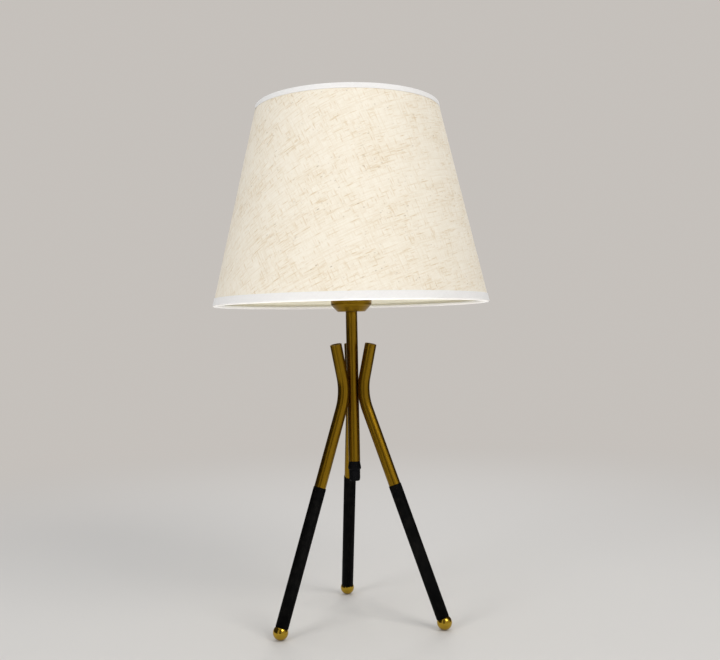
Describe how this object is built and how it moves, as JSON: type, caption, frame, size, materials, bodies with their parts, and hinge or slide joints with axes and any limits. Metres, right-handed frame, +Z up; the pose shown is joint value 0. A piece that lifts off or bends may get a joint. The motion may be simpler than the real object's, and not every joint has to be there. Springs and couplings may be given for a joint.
{
  "type": "tripod table lamp",
  "caption": "Table lamp on a tripod of bent brass tubes with leather sleeves and ball feet, carrying a tapered fabric shade over a screw-cap bulb.",
  "frame": {"origin": "on the stem's axis, on the surface that the three ball feet stand on", "axes": "+Z up along the stem; +Y towards the rear leg; +X to the right of someone facing the two front legs"},
  "size_m": [0.3011, 0.3012, 0.5625],
  "materials": {
    "antique_brass": "antique brushed brass under clear lacquer",
    "polished_brass": "polished brass",
    "black_leather": "black smooth leather, matt",
    "gland_plastic": "black nylon",
    "seal_rubber": "black rubber",
    "holder_plastic": "white heat-proof plastic",
    "terminal_ceramic": "unglazed steatite",
    "contact_brass": "bare brass sheet",
    "zinc_steel": "zinc-plated steel",
    "linen": "cream linen with brown slubs",
    "shade_lining": "cream styrene sheet",
    "white_tape": "white woven bias tape",
    "white_wire": "white powder-coated steel wire",
    "cap_nickel": "nickel-plated brass",
    "tip_glass": "black insulator",
    "bulb_white": "white moulded plastic",
    "bulb_diffuser": "frosted opal dome",
    "board_aluminium": "bare aluminium board"
  },
  "bodies": {
    "base": {"stem_tube": "antique_brass", "leg_tube_left": "antique_brass", "leg_tube_right": "antique_brass", "leg_tube_rear": "antique_brass", "leather_sleeve_left": "black_leather", "leather_sleeve_right": "black_leather", "leather_sleeve_rear": "black_leather", "foot_ball_left": "polished_brass", "foot_ball_right": "polished_brass", "foot_ball_rear": "polished_brass", "foot_studs": "zinc_steel", "leg_end_plugs": "zinc_steel", "braze_beads": "antique_brass", "stem_top_bush": "zinc_steel", "stem_end_bush": "zinc_steel", "nipple": "zinc_steel", "cup_washer": "zinc_steel", "nipple_nut": "zinc_steel", "gland_body": "gland_plastic", "gland_nut": "gland_plastic", "gland_seal": "seal_rubber", "cup": "antique_brass", "holder_cap": "holder_plastic", "terminal_block": "terminal_ceramic", "centre_contact": "contact_brass", "shell_contact": "contact_brass", "terminal_screws": "zinc_steel", "screw_shell": "contact_brass", "holder_skirt": "holder_plastic"},
    "shade": {"shade_cover": "linen", "shade_liner": "shade_lining", "bottom_wire_ring": "white_wire", "top_wire_ring": "white_wire", "bottom_tape": "white_tape", "top_tape": "white_tape", "fitter_ring": "white_wire", "spider_arm_left": "white_wire", "spider_arm_right": "white_wire", "spider_arm_rear": "white_wire"},
    "shade_ring": {"shade_ring": "holder_plastic"},
    "bulb_carriage": {"bulb_tip_contact": "cap_nickel", "bulb_tip_insulator": "tip_glass"},
    "bulb": {"bulb_screw_cap": "cap_nickel", "bulb_housing": "bulb_white", "bulb_led_board": "board_aluminium", "bulb_diffuser": "bulb_diffuser"}
  },
  "joints": [
    {"name": "shade_turn", "type": "hinge", "parent": "base", "child": "shade", "pos_m": [0, 0, 0.366], "axis": [0, 0, 1], "continuous": true},
    {"name": "shade_ring_turn", "type": "hinge", "parent": "base", "child": "shade_ring", "pos_m": [0, 0, 0.3708], "axis": [0, 0, 1], "range_deg": [0, 90]},
    {"name": "bulb_lift", "type": "slide", "parent": "base", "child": "bulb_carriage", "axis": [0, 0, 1], "range_m": [0, 0.01448]},
    {"name": "bulb_turn", "type": "hinge", "parent": "bulb_carriage", "child": "bulb", "pos_m": [0, 0, 0.378], "axis": [0, 0, 1], "range_deg": [0, 1440]}
  ],
  "couplings": [
    {"joint": "bulb_lift", "follows": "bulb_turn", "m_per_rad": 0.000576}
  ]
}
